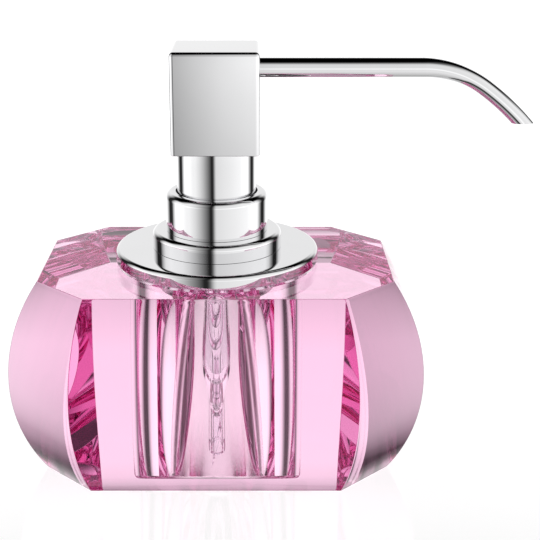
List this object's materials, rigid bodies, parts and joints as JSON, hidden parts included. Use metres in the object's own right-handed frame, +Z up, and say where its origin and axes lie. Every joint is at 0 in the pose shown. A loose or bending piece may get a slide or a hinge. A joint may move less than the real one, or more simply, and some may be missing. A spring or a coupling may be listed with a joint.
{
  "type": "soap dispenser",
  "caption": "Countertop pump dispenser: a bulging eight-sided block of pink cut crystal with a round bore, and a chrome press pump with a square head and a long bent spout.",
  "frame": {"origin": "middle of the crystal's flat base, on the pump's axis", "axes": "+Z up along the pump's axis, +X along the spout at rest, -Y towards the front of the bottle"},
  "size_m": [0.1456, 0.083, 0.1176],
  "materials": {
    "rose_crystal": "cut and polished, tinted pink through",
    "polished_chrome": "mirror polished plating",
    "white_polymer": "natural moulded",
    "clear_polymer": "clear moulded",
    "grey_rubber": "smooth",
    "spring_steel": "bright drawn"
  },
  "bodies": {
    "bottle": {"crystal_body": "rose_crystal", "flange_gasket": "clear_polymer", "neck_flange": "polished_chrome"},
    "pump_core": {"pump_housing": "clear_polymer", "housing_gasket": "grey_rubber", "chaplet": "white_polymer", "ball_cage": "clear_polymer", "inlet_ball": "spring_steel", "dip_tube": "clear_polymer", "return_spring": "spring_steel"},
    "closure": {"closure_ring": "polished_chrome", "closure_seal": "grey_rubber", "guide_collar": "polished_chrome", "guide_bush": "white_polymer"},
    "plunger": {"piston": "clear_polymer"},
    "head": {"stem": "clear_polymer", "outlet_ball": "spring_steel", "actuator_core": "white_polymer", "stem_sleeve": "polished_chrome", "head_block": "polished_chrome", "spout_tube": "polished_chrome", "spout_liner": "clear_polymer"}
  },
  "joints": [
    {"name": "pump_lift", "type": "slide", "parent": "bottle", "child": "pump_core", "axis": [0, 0, 1], "range_m": [0, 0.06]},
    {"name": "closure_turn", "type": "hinge", "parent": "pump_core", "child": "closure", "pos_m": [0, 0, 0.0639], "axis": [0, 0, 1], "range_deg": [0, 1440]},
    {"name": "head_press", "type": "slide", "parent": "pump_core", "child": "plunger", "axis": [0, 0, -1], "range_m": [0, 0.009], "stiffness_N_per_m": 500, "springref_m": -0.012, "deforming": ["return_spring"]},
    {"name": "head_swivel", "type": "hinge", "parent": "plunger", "child": "head", "pos_m": [0, 0, 0.09], "axis": [0, 0, 1], "continuous": true}
  ]
}
